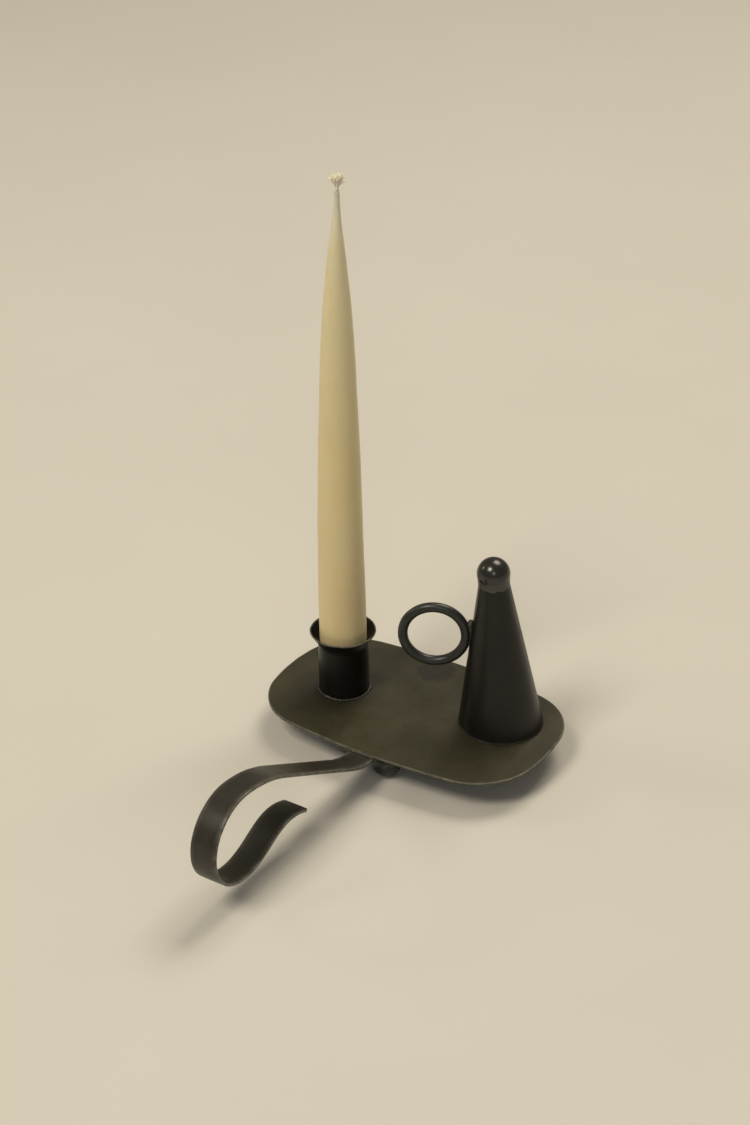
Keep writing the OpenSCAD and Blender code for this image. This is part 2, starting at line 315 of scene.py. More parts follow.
def cotton():
    m = Nodes("wick_cotton")
    tone = m.mix(m.span(m.noise(700, 4, 0.6), 0.3, 0.7, 0.0, 1.0), (0.76, 0.7, 0.53), (0.86, 0.82, 0.7))
    tone = m.mix(m.span(m.noise(1.0, 2, 0.5, coords=m.stretch((3500, 3500, 500))), 0.45, 0.7, 0.0, 0.4), tone, (0.66, 0.58, 0.42))
    bump = m.add("Bump", {"Strength": 0.4, "Distance": 0.0002,
                          "Height": m.noise(1.0, 3, 0.6, coords=m.stretch((5200, 5200, 900)))}).outputs[0]
    return m.finish({"Base Color": tone, "Roughness": m.span(m.noise(800, 2, 0.5), 0.3, 0.7, 0.75, 0.95), "Normal": bump,
                     "Specular IOR Level": 0.2, "Sheen Weight": 0.25, "Sheen Roughness": 0.4,
                     "Subsurface Weight": 0.2, "Subsurface Radius": (1.0, 0.8, 0.55), "Subsurface Scale": 0.001})


def tray_painted_reflection_and_disc(m, tone):
    """On the tray: a round dark disc near the back edge, and a painted reflection of the dark socket as a soft dark
    halo round its foot.
    """
    ends = m.add("SeparateXYZ", {"Vector": m.coords})
    ripple = m.span(m.noise(260, 3, 0.6), 0.3, 0.7, -0.0012, 0.0012)

    def disc(x, y, r, soft, amount, tone, colour):
        dx = m.maths("SUBTRACT", ends.outputs["X"], x * MM)
        dy = m.maths("SUBTRACT", ends.outputs["Y"], (TRAY_Y + y) * MM)
        d = m.maths("SQRT", m.maths("ADD", m.maths("MULTIPLY", dx, dx), m.maths("MULTIPLY", dy, dy)))
        d = m.maths("ADD", d, ripple)
        return m.mix(m.span(d, (r - soft) * MM, (r + soft) * MM, amount, 0.0), tone, colour)

    # a round dark disc near the back edge, just behind the ring
    tone = disc(-8.0, 33.5, 9.4, 1.2, 0.72, tone, (0.006, 0.0055, 0.0055))
    # painted reflection: the dark socket mirrored in the satin plate, a soft dark halo round its foot
    tone = disc(-39.7, -2.3, 17.5, 6.5, 0.6, tone, (0.009, 0.0085, 0.007))
    return tone


IRON_TRAY = iron("tray_iron", (0.024, 0.0213, 0.009), (0.044, 0.0395, 0.019), (0.037, 0.026, 0.0105), gloss=(0.34, 0.5),
                 specular=0.42, grain=0.5, dents=0.8, worn=(0.16, 0.155, 0.12), dust_and_glints=0.6, painted_reflection_and_disc=tray_painted_reflection_and_disc, streaks=(70, 1100, 1100))
IRON_DARK = iron("dark_iron", (0.0035, 0.0033, 0.0032), (0.007, 0.0067, 0.0058), (0.008, 0.0062, 0.0045), gloss=(0.28, 0.4),
                 specular=0.26, grain=0.6, dents=0.4, dust_and_glints=0.35)
IRON_STRAP = iron("strap_iron", (0.016, 0.0145, 0.0105), (0.032, 0.029, 0.02), (0.026, 0.019, 0.012), gloss=(0.3, 0.44),
                  specular=0.45, grain=0.55, dents=0.9, dust_and_glints=0.3, streaks=(900, 60, 900))
IRON_CONE = iron("cone_iron", (0.004, 0.0037, 0.0032), (0.009, 0.0084, 0.0066), (0.01, 0.0076, 0.0055), gloss=(0.28, 0.4),
                 specular=0.34, grain=0.55, dents=0.5, dust_and_glints=0.4, streaks=(900, 900, 70))
IRON_RING = iron("ring_iron", (0.014, 0.0142, 0.0145), (0.026, 0.026, 0.026), (0.02, 0.017, 0.014), gloss=(0.3, 0.4),
                 specular=0.45, grain=0.35, dents=0.3, dust_and_glints=0.15)
IRON_BALL = iron("knob_steel", (0.012, 0.0115, 0.0108), (0.02, 0.019, 0.017), (0.02, 0.016, 0.012), gloss=(0.2, 0.3),
                 specular=0.6, grain=0.3, dents=0.15, dust_and_glints=0.2)
IRON_WELD = iron("weld_iron", (0.022, 0.0205, 0.017), (0.05, 0.046, 0.036), (0.04, 0.028, 0.018), gloss=(0.3, 0.5),
                 specular=0.5, grain=0.9, dents=1.2, dust_and_glints=0.3)
WAX, COTTON = wax(), cotton()


# ---------------------------------------------------------------- tray
def tray_outline(count):
    """Even points round the tray, and their outward normals: three tangent arcs to each quarter."""
    bow, end = np.array([0, TRAY_WID / 2 - BOW_R]), np.array([TRAY_LEN / 2 - END_R, 0])
    to_bow, to_end = BOW_R - CORNER_R, END_R - CORNER_R
    apart = np.linalg.norm(end - bow)
    along = (end - bow) / apart
    foot = (to_bow ** 2 - to_end ** 2 + apart ** 2) / (2 * apart)
    corner = bow + foot * along + math.sqrt(to_bow ** 2 - foot ** 2) * np.array([along[1], -along[0]])
    a_bow = math.atan2(*(corner - bow)[::-1])
    a_end = math.atan2(*(corner - end)[::-1])
    quarter = []
    for c, r, a0, a1, n in ((end, END_R, 0, a_end, 60), (corner, CORNER_R, a_end, a_bow, 140), (bow, BOW_R, a_bow, math.pi / 2, 120)):
        for a in np.linspace(a0, a1, n, endpoint=False):
            quarter.append((c[0] + r * math.cos(a), c[1] + r * math.sin(a)))
    q = np.array(quarter + [(0, TRAY_WID / 2)])
    loop = np.concatenate([q, (q * (-1, 1))[::-1][1:], (q * (-1, -1))[1:], (q * (1, -1))[::-1][1:-1]])
    ring = np.vstack([loop, loop[:1]])
    s = np.r_[0, np.cumsum(np.linalg.norm(np.diff(ring, axis=0), axis=1))]
    at = np.linspace(0, s[-1], count, endpoint=False)
    p = np.stack([np.interp(at, s, ring[:, 0]), np.interp(at, s, ring[:, 1])], 1)
    t = np.roll(p, -1, 0) - np.roll(p, 1, 0)
    t /= np.linalg.norm(t, axis=1)[:, None]
    return p, np.stack([t[:, 1], -t[:, 0]], 1)


def tray_sag(x, y):
    """How far the plate stands out of flat: a slow warp from the shears and the welding, and faint hammering."""
    p = np.stack([x, y, np.zeros_like(x)], 1)
    slow = 0.16 * rough(p, 1 / 48, 3.1) + 0.07 * rough(p, 1 / 21, 8.4)
    edge = np.clip(np.hypot(x / (TRAY_LEN / 2), y / (TRAY_WID / 2)) - 0.72, 0, 1)
    return slow * (0.35 + 1.4 * edge) + 0.02 * rough(p, 1 / 7.5, 5.5)


def build_tray():
    n = 420
    p, out = tray_outline(n)
    p = p + out * (0.28 * rough(np.c_[p, np.zeros(n)], 1 / 17, 1.3) + 0.1 * rough(np.c_[p, np.zeros(n)], 1 / 5, 4.2))[:, None]
    ease, thick = 0.42, TRAY_TOP - TRAY_Z
    rings, wear = [], []
    scale_steps = np.linspace(0.02, 1.0, 44) ** 0.85
    inner = p - out * 1.6
    for s in scale_steps:
        rings.append(np.c_[inner * s, np.full(n, thick)])
        wear.append(np.zeros(n))
    for d, w in ((1.2, 0.0), (0.85, 0.08), (0.6, 0.25)):
        rings.append(np.c_[p - out * d, np.full(n, thick)])
        wear.append(np.full(n, w))
    for f in np.radians([0, 22, 45, 68, 90]):
        rings.append(np.c_[p - out * ease * (1 - math.sin(f)), np.full(n, thick - ease * (1 - math.cos(f)))])
        wear.append(np.full(n, 0.75 if f > 0.2 else 0.5))
    for f in np.radians([90, 68, 45, 22, 0]):
        rings.append(np.c_[p - out * ease * (1 - math.sin(f)), np.full(n, ease * (1 - math.cos(f)))])
        wear.append(np.full(n, 0.3))
    for d in (0.6, 0.85, 1.2):
        rings.append(np.c_[p - out * d, np.zeros(n)])
        wear.append(np.zeros(n))
    for s in scale_steps[::-1]:
        rings.append(np.c_[inner * s, np.zeros(n)])
        wear.append(np.zeros(n))
    v = np.concatenate(rings)
    v[:, 2] += tray_sag(v[:, 0], v[:, 1])
    faces = tube_faces(len(rings), n)
    top, bottom = len(v), len(v) + 1
    sag0 = tray_sag(np.zeros(1), np.zeros(1))[0]
    v = np.vstack([v, [0, 0, thick + sag0], [0, 0, sag0]])
    last = (len(rings) - 1) * n
    faces += [(top, (j + 1) % n, j) for j in range(n)] + [(bottom, last + j, last + (j + 1) % n) for j in range(n)]
    v += (0, TRAY_Y, TRAY_Z)
    return make("tray_plate", v, faces, IRON_TRAY, "holder", "tray", {"wear": np.r_[np.concatenate(wear), 0, 0]}, sharp=60)


build_tray()


# ---------------------------------------------------------------- candle socket
def build_socket():
    ri, h = SOCKET_R - SOCKET_WALL, SOCKET_H
    outer = [(SOCKET_R, 0.0), (SOCKET_R, 6), (SOCKET_R, 12), (SOCKET_R, 18), (SOCKET_R, 22), (SOCKET_R, 25.0), (SOCKET_R + 0.06, 26.4),
             (SOCKET_R + 0.3, 27.6), (SOCKET_R + 0.95, 29.0), (SOCKET_R + 2.0, 30.6), (SOCKET_R + 3.15, 32.2), (16.28, 33.25)]
    inner = [(15.75, 33.72), (14.75, 32.25), (13.55, 30.6), (12.5, 29.0), (ri + 0.22, 27.6), (ri + 0.04, 26.4), (ri, 25.0), (ri, 22), (ri, 18), (ri, 12), (ri, 6), (ri, 0.0)]
    a, b = spline(outer, 5), spline(inner, 5)
    # the rim's rounded lip, from the outer side over to the inner
    middle, half = (a[-1] + b[0]) / 2, np.linalg.norm(a[-1] - b[0]) / 2
    side = (a[-1] - b[0]) / (2 * half)
    up = np.array([-side[1], side[0]])
    lip = [middle + half * (math.cos(f) * side + math.sin(f) * up) for f in np.radians([18, 36, 54, 72, 90, 108, 126, 144, 162])]
    # its foot, eased outside
    foot = [(SOCKET_R - 0.25, 0.0)]
    profile = np.vstack([foot, a, lip, b])
    n = 144

    def change(t, r, z):
        near = np.clip((z - 24) / 10, 0, 1)
        oval = 0.1 * near * np.cos(2 * t + 0.6) + 0.05 * near * np.cos(3 * t + 2.1) + 0.035 * near * np.sin(7 * t)
        wave = near * (0.1 * np.cos(2 * t + 2.4) + 0.06 * np.cos(5 * t + 0.4))
        q = np.stack([r * np.cos(t), r * np.sin(t), np.full_like(t, z)], 1)
        return r + oval + 0.03 * rough(q, 1 / 9, 2.2), z + wave * (z > 20)

    v, f = lathe(profile, n, (*SOCKET, TRAY_TOP), change)
    lip_rows = range(1 + len(a) - 3, 1 + len(a) + len(lip) + 2)
    wear = np.zeros((len(profile), n))
    for i in lip_rows:
        wear[i] = 0.85 if 1 + len(a) <= i < 1 + len(a) + len(lip) else 0.35
    make("socket_tube", v, f, IRON_DARK, "holder", "candle_socket", {"wear": wear.ravel()}, sharp=70)

    rng = np.random.default_rng(11)
    balls = []
    for a in np.arange(0, 360, 2.1):
        t = math.radians(a)
        tack = max(math.exp(-((a - c + 180) % 360 - 180) ** 2 / 2 / w ** 2) for c, w in ((222, 6), (262, 7), (28, 9), (140, 10)))
        r = 0.42 + 0.12 * rng.random() + 0.5 * tack
        d = SOCKET_R + 0.12 + 0.25 * r + 0.35 * tack * rng.random()
        balls.append((SOCKET[0] + d * math.cos(t), SOCKET[1] + d * math.sin(t), TRAY_TOP + 0.16 + 0.2 * rng.random() + 0.35 * tack, r))
    blobs("socket_weld", balls, IRON_WELD, "holder", voxel=0.2, smooth=5)


build_socket()


# ---------------------------------------------------------------- strap handle
STEPS = [("line", 4.8), ("bend", 33, 29), ("line", 63.6), ("bend", 69, -25.4), ("bend", 23.4, -75), ("bend", 20.5, -92.4),
         ("bend", 30, -40.5), ("line", 11.3), ("bend", 25, 48.8), ("line", 3.8)]


def strap_path(step=0.2):
    """Distance out, height and heading along the strap's middle line, with each bend eased into the next."""
    s, head = [0.0], [0.0]
    for st in STEPS:
        length = st[1] if st[0] == "line" else st[1] * math.radians(abs(st[2]))
        s.append(s[-1] + length)
        head.append(head[-1] + (0 if st[0] == "line" else math.radians(st[2])))
    at = np.arange(0, s[-1], step)
    at = np.r_[at, s[-1]]
    exact = np.interp(at, s, head)

    def walk(h):
        mid = (h[1:] + h[:-1]) / 2
        ds = np.diff(at)
        return np.stack([np.r_[0, np.cumsum(ds * np.cos(mid))], np.r_[0, np.cumsum(ds * np.sin(mid))]], 1)

    w = int(9 / step)
    kernel = np.exp(-np.linspace(-3, 3, 2 * w + 1) ** 2 / 2)
    padded = np.r_[np.full(w, exact[0]), exact, np.full(w, exact[-1])]
    eased = np.convolve(padded, kernel / kernel.sum(), "valid")
    a, b = walk(exact), walk(eased)
    b = b + (a[-1] - b[-1]) * (at / at[-1])[:, None]
    return at, b + (39.6, TRAY_Z - STRAP_T / 2), eased


def build_strap():
    at, line, head = strap_path()
    total = at[-1]
    hw, ht, r = STRAP_W / 2, STRAP_T / 2, 0.5
    sec = []
    for u in np.linspace(-(hw - r), hw - r, 15):
        sec.append((u, ht + 0.05 * (1 - (u / hw) ** 2)))
    for f in np.radians([75, 60, 45, 30, 15, 0]):
        sec.append((hw - r + r * math.cos(f), ht - r + r * math.sin(f)))
    for f in np.radians([0, -15, -30, -45, -60, -75]):
        sec.append((hw - r + r * math.cos(f), -(ht - r) + r * math.sin(f)))
    for u in np.linspace(hw - r, -(hw - r), 15):
        sec.append((u, -ht - 0.02 * (1 - (u / hw) ** 2)))
    for f in np.radians([-105, -120, -135, -150, -165, -180]):
        sec.append((-(hw - r) + r * math.cos(f), -(ht - r) + r * math.sin(f)))
    for f in np.radians([180, 165, 150, 135, 120, 105]):
        sec.append((-(hw - r) + r * math.cos(f), ht - r + r * math.sin(f)))
    sec = np.array(sec)
    wear_sec = np.array([0.9 if 5.9 < abs(u) else 0.0 for u, _ in sec])
    wear_sec[(np.abs(sec[:, 0]) > 5.2) & (np.abs(sec[:, 0]) <= 6.35)] = 0.25
    n = len(sec)
    stations = list(np.arange(0.5, total - 0.5, 0.62)) + [total - 0.5]
    rings, wear = [], []

    def ring(s, inset, corner=True):
        d = np.interp(s, at, line[:, 0])
        z = np.interp(s, at, line[:, 1])
        h = np.interp(s, at, head)
        k = 1 + 0.012 * noise.noise(Vector((s / 23, 2.2, 0.0))) + 0.006 * noise.noise(Vector((s / 6, 7.2, 0.0)))
        u = (np.abs(sec[:, 0]) - inset).clip(0) * np.sign(sec[:, 0]) * k
        v = (np.abs(sec[:, 1]) - inset).clip(0.02) * np.sign(sec[:, 1])
        back = np.zeros(n)
        if corner:
            rc = 1.3
            over = (np.abs(sec[:, 0]) - (hw - rc)).clip(0, rc)
            back = (rc - np.sqrt(np.maximum(rc ** 2 - over ** 2, 0))) * np.clip((s - (total - 5)) / 5, 0, 1) ** 2
        side = 0.12 * noise.noise(Vector((s / 31, 9.2, 0.0)))
        x = STRAP_X + side - u * -1
        v = v + 0.035 * np.array([noise.noise(Vector((s / 8, q / 5, 3.3))) for q in sec[:, 0]]) * np.sign(sec[:, 1])
        out, up = math.cos(h), math.sin(h)
        dist = d - back * out - v * up
        height = z - back * up + v * out
        return np.stack([x, TRAY_Y - dist, height], 1)

    for f in np.radians([90, 60, 30]):
        rings.append(ring(0.5 - 0.45 * math.sin(f), 0.45 * (1 - math.cos(f)), False))
        wear.append(wear_sec * 0.3)
    for s in stations:
        rings.append(ring(s, 0.0))
        wear.append(np.maximum(wear_sec, 0.5 * float(s > total - 0.7)))
    for f in np.radians([25, 50, 70, 85]):
        rings.append(ring(total - 0.5 + 0.45 * math.sin(f), 0.45 * (1 - math.cos(f))))
        wear.append(np.full(n, 0.9))
    v = np.concatenate(rings)
    faces = tube_faces(len(rings), n)
    a, b = len(v), len(v) + 1
    v = np.vstack([v, rings[0].mean(0), rings[-1].mean(0)])
    last = (len(rings) - 1) * n
    faces += [(a, j, (j + 1) % n) for j in range(n)] + [(b, last + (j + 1) % n, last + j) for j in range(n)]
    make("strap", v, faces, IRON_STRAP, "holder", "strap_handle", {"wear": np.r_[np.concatenate(wear), 0, 0.6]}, sharp=50)

    # the bead along the tray's edge, a lump at its left corner, and the beads along the lap underneath
    rng = np.random.default_rng(5)
    balls = []
    y0 = TRAY_Y - TRAY_WID / 2
    for x in np.arange(STRAP_X - 6.9, STRAP_X + 6.6, 0.45):
        balls.append((x, y0 - 0.1 - 0.16 * rng.random(), TRAY_Z + 0.3 + 0.14 * rng.random(), 0.62 + 0.14 * rng.random()))
    for k in range(7):
        balls.append((STRAP_X - 6.7 - 0.42 * k + 0.1 * rng.random(), y0 - 0.05 + 0.12 * rng.random() + 0.02 * k, TRAY_Z - 0.1 + 0.12 * k * 0.4, 0.8 - 0.05 * k))
    for side in (-1, 1):
        for y in np.arange(y0 + 0.3, y0 + 5.2, 0.5):
            balls.append((STRAP_X + side * (STRAP_W / 2 + 0.1 * rng.random()), y, TRAY_Z - 0.25 - 0.2 * rng.random(), 0.55 + 0.16 * rng.random()))
    blobs("handle_weld", balls, IRON_WELD, "holder", voxel=0.16, smooth=5)


build_strap()


# ---------------------------------------------------------------- feet
def ball_profile(rows, flat=0.0, soft=0.35):
    """Half outline of a ball from its bottom to its top, with eased flats."""
    out = []
    for f in np.linspace(-90, 90, rows):
        r, z = BALL_R * math.cos(math.radians(f)), BALL_R * math.sin(math.radians(f))
        top = BALL_R - flat
        if flat and abs(z) > top - soft:
            z = math.copysign(top - soft * math.exp(-(abs(z) - (top - soft)) / soft), z) if abs(z) < top + soft else math.copysign(top - 0.0, z)
            z = math.copysign(min(abs(z), top), z)
        out.append((r, z))
    return out


def turned_ball(centre, place, flat, rows=72, n=96, seed=0.0):
    """Points and faces of a slightly imperfect steel ball; place turns local points into the row frame."""
    prof = ball_profile(rows, flat)
    t = np.linspace(0, 2 * math.pi, n, endpoint=False)
    rings = [np.stack([r * np.cos(t), r * np.sin(t), np.full(n, z)], 1) for r, z in prof[1:-1]]
    v = np.concatenate(rings)
    v = np.vstack([v, (0, 0, prof[0][1]), (0, 0, prof[-1][1])])
    size = 1 + (0.012 * rough(v, 1 / 3.1, seed) + 0.006 * rough(v, 1 / 1.1, seed + 4)) / BALL_R * (0.0 if flat else 1.0)
    v = v * size[:, None]
    faces = tube_faces(rows - 2, n)
    a, b, last = (rows - 2) * n, (rows - 2) * n + 1, (rows - 3) * n
    faces += [(a, j, (j + 1) % n) for j in range(n)] + [(b, last + (j + 1) % n, last + j) for j in range(n)]
    return place(v + np.asarray(centre, float)), faces


def build_feet():
    rng = np.random.default_rng(3)
    for i, (node, (x, y)) in enumerate(FEET.items()):
        at = (x, TRAY_Y + y, BALL_R - FOOT_FLAT)
        v, f = turned_ball(at, lambda q: q, FOOT_FLAT, seed=float(i))
        v[:, 2] = np.clip(v[:, 2], 0.0, TRAY_Z)
        wear = np.clip((1.3 - v[:, 2]) / 1.3, 0, 1) * 0.8
        make(node + "_ball", v, f, IRON_BALL, "holder", node, {"wear": wear}, sharp=60)
        balls = []
        for a in np.arange(0, 360, 12):
            t = math.radians(a + 5 * rng.random())
            d = 3.0 + 0.25 * rng.random()
            balls.append((x + d * math.cos(t), TRAY_Y + y + d * math.sin(t), TRAY_Z - 0.32 - 0.12 * rng.random(), 0.62 + 0.2 * rng.random()))
        blobs(node + "_weld", balls, IRON_WELD, "holder", voxel=0.17, smooth=5)


build_feet()


# ---------------------------------------------------------------- candle and wick
CANDLE = [(0, 11.0), (1, 11.4), (26, 11.4), (30, 11.62), (48, 11.56), (66, 11.32), (84, 11.0), (108, 10.52), (134, 9.94), (160, 8.95),
          (184, 7.98), (200, 7.1), (208, 6.5), (220, 5.38), (232, 4.2), (240, 3.25), (246, 2.4), (252, 1.85), (258, 1.45), (263, 1.25)]
SIDEWAYS = np.array([0.8354, 0.5497])


def bend(z):
    """How far the candle's middle line stands off the socket's axis, at a height above the table."""
    return smooth_line(z, [0, 100, 151, 200, 225, 250, 268, 280, 292], [0, 0, 0.4, 0.85, 1.2, 1.5, 2.0, 2.3, 2.5])


def build_candle():
    top = CANDLE[-1][0]
    z = np.r_[0.0, 0.12, 0.35, 0.7, np.arange(1.0, top - 1.0, 1.1), top - 0.6, top - 0.25, top]
    r = smooth_line(z, [c[0] for c in CANDLE], [c[1] for c in CANDLE])
    r[:4] = 11.4 - np.array([0.75, 0.45, 0.2, 0.05])
    r[-2:] -= (0.06, 0.2)
    n = 112
    t = np.linspace(0, 2 * math.pi, n, endpoint=False)
    rings = []
    for zz, rr in zip(z, r):
        q = np.stack([9 * np.cos(t), 9 * np.sin(t), np.full(n, zz * 0.35)], 1)
        free = np.clip((zz - 27) / 8, 0, 1)
        wob = free * (0.055 * rough(q, 1 / 10, 6.1) + 0.02 * rough(q, 1 / 3.4, 2.7)) * min(1, rr / 5)
        wob = wob + free * 0.03 * math.sin(zz / 6.5 + 1.1 * math.sin(zz / 17)) * min(1, rr / 8)
        rad = rr + wob
        o = bend(TRAY_TOP + zz) * SIDEWAYS
        rings.append(np.stack([SOCKET[0] + o[0] + rad * np.cos(t), SOCKET[1] + o[1] + rad * np.sin(t), np.full(n, TRAY_TOP + zz)], 1))
    # the hole that the wick runs through
    for zz in list(np.arange(top, 0, -12.0)) + [0.0]:
        o = bend(TRAY_TOP + zz) * SIDEWAYS
        rad = 1.02 + (0.08 if zz in (0.0, top) else 0)
        rings.append(np.stack([SOCKET[0] + o[0] + rad * np.cos(t), SOCKET[1] + o[1] + rad * np.sin(t), np.full(n, TRAY_TOP + zz)], 1))
    v = np.concatenate(rings)
    make("taper", v, tube_faces(len(rings), n, closed_rings=True), WAX, "candle", "candle", sharp=75)


build_candle()


def strand(path, radii, sides=7, seed=0.0):
    """A closed soft tube along a path."""
    path, radii = np.asarray(path, float), np.asarray(radii, float)
    t = np.gradient(path, axis=0)
    t /= np.linalg.norm(t, axis=1)[:, None] + 1e-9
    ref = np.array([0.31, 0.93, 0.2])
    v = []
    for p, d, r in zip(path, t, radii):
        a = np.cross(d, ref)
        a /= np.linalg.norm(a)
        b = np.cross(d, a)
        for k in range(sides):
            f = 2 * math.pi * k / sides
            v.append(p + r * (math.cos(f) * a + math.sin(f) * b))
    faces = tube_faces(len(path), sides)
    last = (len(path) - 1) * sides
    faces += [tuple(range(sides))[::-1], tuple(last + k for k in range(sides))]
    return np.array(v), faces


def build_wick():
    rng = np.random.default_rng(21)
    verts, faces = [], []

    def put(v, f):
        base = sum(len(x) for x in verts)
        verts.append(v)
        faces.extend(tuple(base + i for i in face) for face in f)

    top = CANDLE[-1][0]
    # three plies, twisted round one another, through the whole candle
    zs = np.arange(0.0, top + 2.4, 0.85)
    for ply in range(3):
        a = 2 * math.pi * ply / 3 + 2 * math.pi * zs / 7.5
        o = bend(TRAY_TOP + zs)[:, None] * SIDEWAYS
        path = np.stack([SOCKET[0] + o[:, 0] + 0.43 * np.cos(a), SOCKET[1] + o[:, 1] + 0.43 * np.sin(a), TRAY_TOP + zs], 1)
        put(*strand(path, np.full(len(zs), 0.5), 8))
    # the frayed end: blunt tufts that open into a funnel, higher and wider on the sides that the photograph shows
    base_z = TRAY_TOP + top + 1.6
    o = float(bend(base_z)) * SIDEWAYS
    cx, cy = SOCKET[0] + o[0], SOCKET[1] + o[1]
    right, away = np.array([0.8354, 0.5497, 0]), np.array([-0.5497, 0.8354, 0])
    up = np.array([0, 0, 1.0])
    tufts = []
    # each: sideways, depth, height of its end, thickness
    tufts += [(-3.5, 0.3, 4.2, 0.42), (-2.9, -0.8, 4.0, 0.45), (-2.3, 0.7, 5.0, 0.5), (-1.9, -0.5, 5.3, 0.45), (-1.2, 0.4, 4.9, 0.5),
              (-0.6, -0.9, 5.1, 0.5), (0.0, 0.6, 5.6, 0.5), (0.7, -0.2, 6.2, 0.55), (1.4, 0.4, 6.3, 0.6), (2.0, -0.6, 5.8, 0.5),
              (2.5, 0.3, 6.0, 0.5), (3.0, -0.4, 5.2, 0.5), (3.6, 0.4, 4.8, 0.45), (3.3, -1.0, 4.3, 0.45), (3.9, -0.4, 2.6, 0.36), (3.1, -1.2, 2.7, 0.4)]
    for k in range(26):
        a = 2 * math.pi * k / 26 + rng.uniform(-0.1, 0.1)
        d = rng.uniform(1.2, 2.9)
        tufts.append((d * math.cos(a), d * math.sin(a), rng.uniform(4.0, 5.6), rng.uniform(0.38, 0.52)))
    for k in range(60):
        a = rng.uniform(0, 2 * math.pi)
        d = rng.uniform(0.6, 3.5)
        tufts.append((d * math.cos(a), d * math.sin(a), rng.uniform(4.4, 6.4), rng.uniform(0.07, 0.16)))
    for side, depth, height, thick in tufts:
        start = np.array([cx, cy, base_z]) + (right * side + away * depth) * 0.2
        end = np.array([cx, cy, base_z + height]) + right * side + away * depth
        mid = start * 0.5 + end * 0.5 - (right * side + away * depth) * 0.2 + up * 0.2
        k = np.linspace(0, 1, 9)[:, None]
        curl = np.array([rng.normal(), rng.normal(), 0]) * 0.12
        path = (1 - k) ** 2 * start + 2 * k * (1 - k) * mid + k ** 2 * end + np.sin(k * math.pi * 1.3) * curl
        radii = thick * np.array([0.8, 0.85, 0.92, 1.0, 1.05, 1.08, 1.05, 0.85, 0.42])
        put(*strand(path, radii, 8 if thick > 0.2 else 5))
    return make("wick_braid", np.concatenate(verts), faces, COTTON, "candle", "wick", sharp=80)


build_wick()


# ---------------------------------------------------------------- snuffer
def stand(v):
    """From the snuffer's own frame, whose axis leans towards its ring, to the row frame."""
    x = v[:, 0] * math.cos(LEAN) + v[:, 2] * math.sin(LEAN)
    z = -v[:, 0] * math.sin(LEAN) + v[:, 2] * math.cos(LEAN)
    return np.stack([SNUFFER[0] + x * math.cos(RING_DIR) - v[:, 1] * math.sin(RING_DIR),
                     SNUFFER[1] + x * math.sin(RING_DIR) + v[:, 1] * math.cos(RING_DIR), TRAY_TOP + z], 1)


def build_cone():
    n = 168
    t = np.linspace(0, 2 * math.pi, n, endpoint=False)
    seam = math.radians(123.4) - RING_DIR            # the rolled sheet's seam, on the side away from the handle
    dt = (t - seam + math.pi) % (2 * math.pi) - math.pi
    low = CONE_R * np.cos(t) * math.tan(LEAN)        # where the leaning cone meets the tray
    ease = 0.5
    rings, wear = [], []

    def skin(z_share, inset, lift=0.0, outside=True):
        z = low + lift + (CONE_H - low - lift) * z_share
        r = CONE_R - SLOPE * z - inset
        if outside:
            q = np.stack([20 * np.cos(t), 20 * np.sin(t), z * 0.12], 1)
            flats = 0.045 * np.cos(9 * t + 0.02 * z) + 0.05 * rough(q, 1 / 13, 4.4) + 0.07 * np.cos(2 * t + 1.0) * (1 - z_share)
            bead = (0.16 + 0.05 * np.sin(z * 1.9)) * np.exp(-(dt * r / 1.1) ** 2)
            r = r + flats + bead
        return np.stack([r * np.cos(t), r * np.sin(t), z], 1)

    for f in np.radians([0, 22, 45, 68]):            # the mouth's eased outer edge, from the flat up
        rings.append(skin(0.0, ease * (1 - math.sin(f)), ease * (1 - math.cos(f)) + 0.03))
        wear.append(np.full(n, 0.5))
    for k in np.r_[0.006, 0.012, 0.02, np.linspace(0.03, 1.0, 74)]:
        rings.append(skin(k, 0.0, 0.03))
        wear.append(np.full(n, 0.45 if k < 0.007 else (0.15 if k < 0.013 else 0.0)))
    for f in np.radians([30, 60, 90]):               # the top edge, under the braze
        rings.append(skin(1.0, 0.25 * (1 - math.cos(f)), 0.0) + (0, 0, 0.2 * math.sin(f) - 0.2))
        wear.append(np.zeros(n))
    for k in np.linspace(0.99, 0.008, 50):
        rings.append(skin(k, CONE_WALL, 0.03, False))
        wear.append(np.zeros(n))
    for f in np.radians([68, 40, 15]):
        rings.append(skin(0.0, CONE_WALL - 0.3 * (1 - math.sin(f)), 0.3 * (1 - math.cos(f)) + 0.03, False))
        wear.append(np.full(n, 0.4))
    v = stand(np.concatenate(rings))
    make("cone_shell", v, tube_faces(len(rings), n, closed_rings=True), IRON_CONE, "snuffer", "snuffer_cone",
         {"wear": np.concatenate(wear)}, sharp=60)


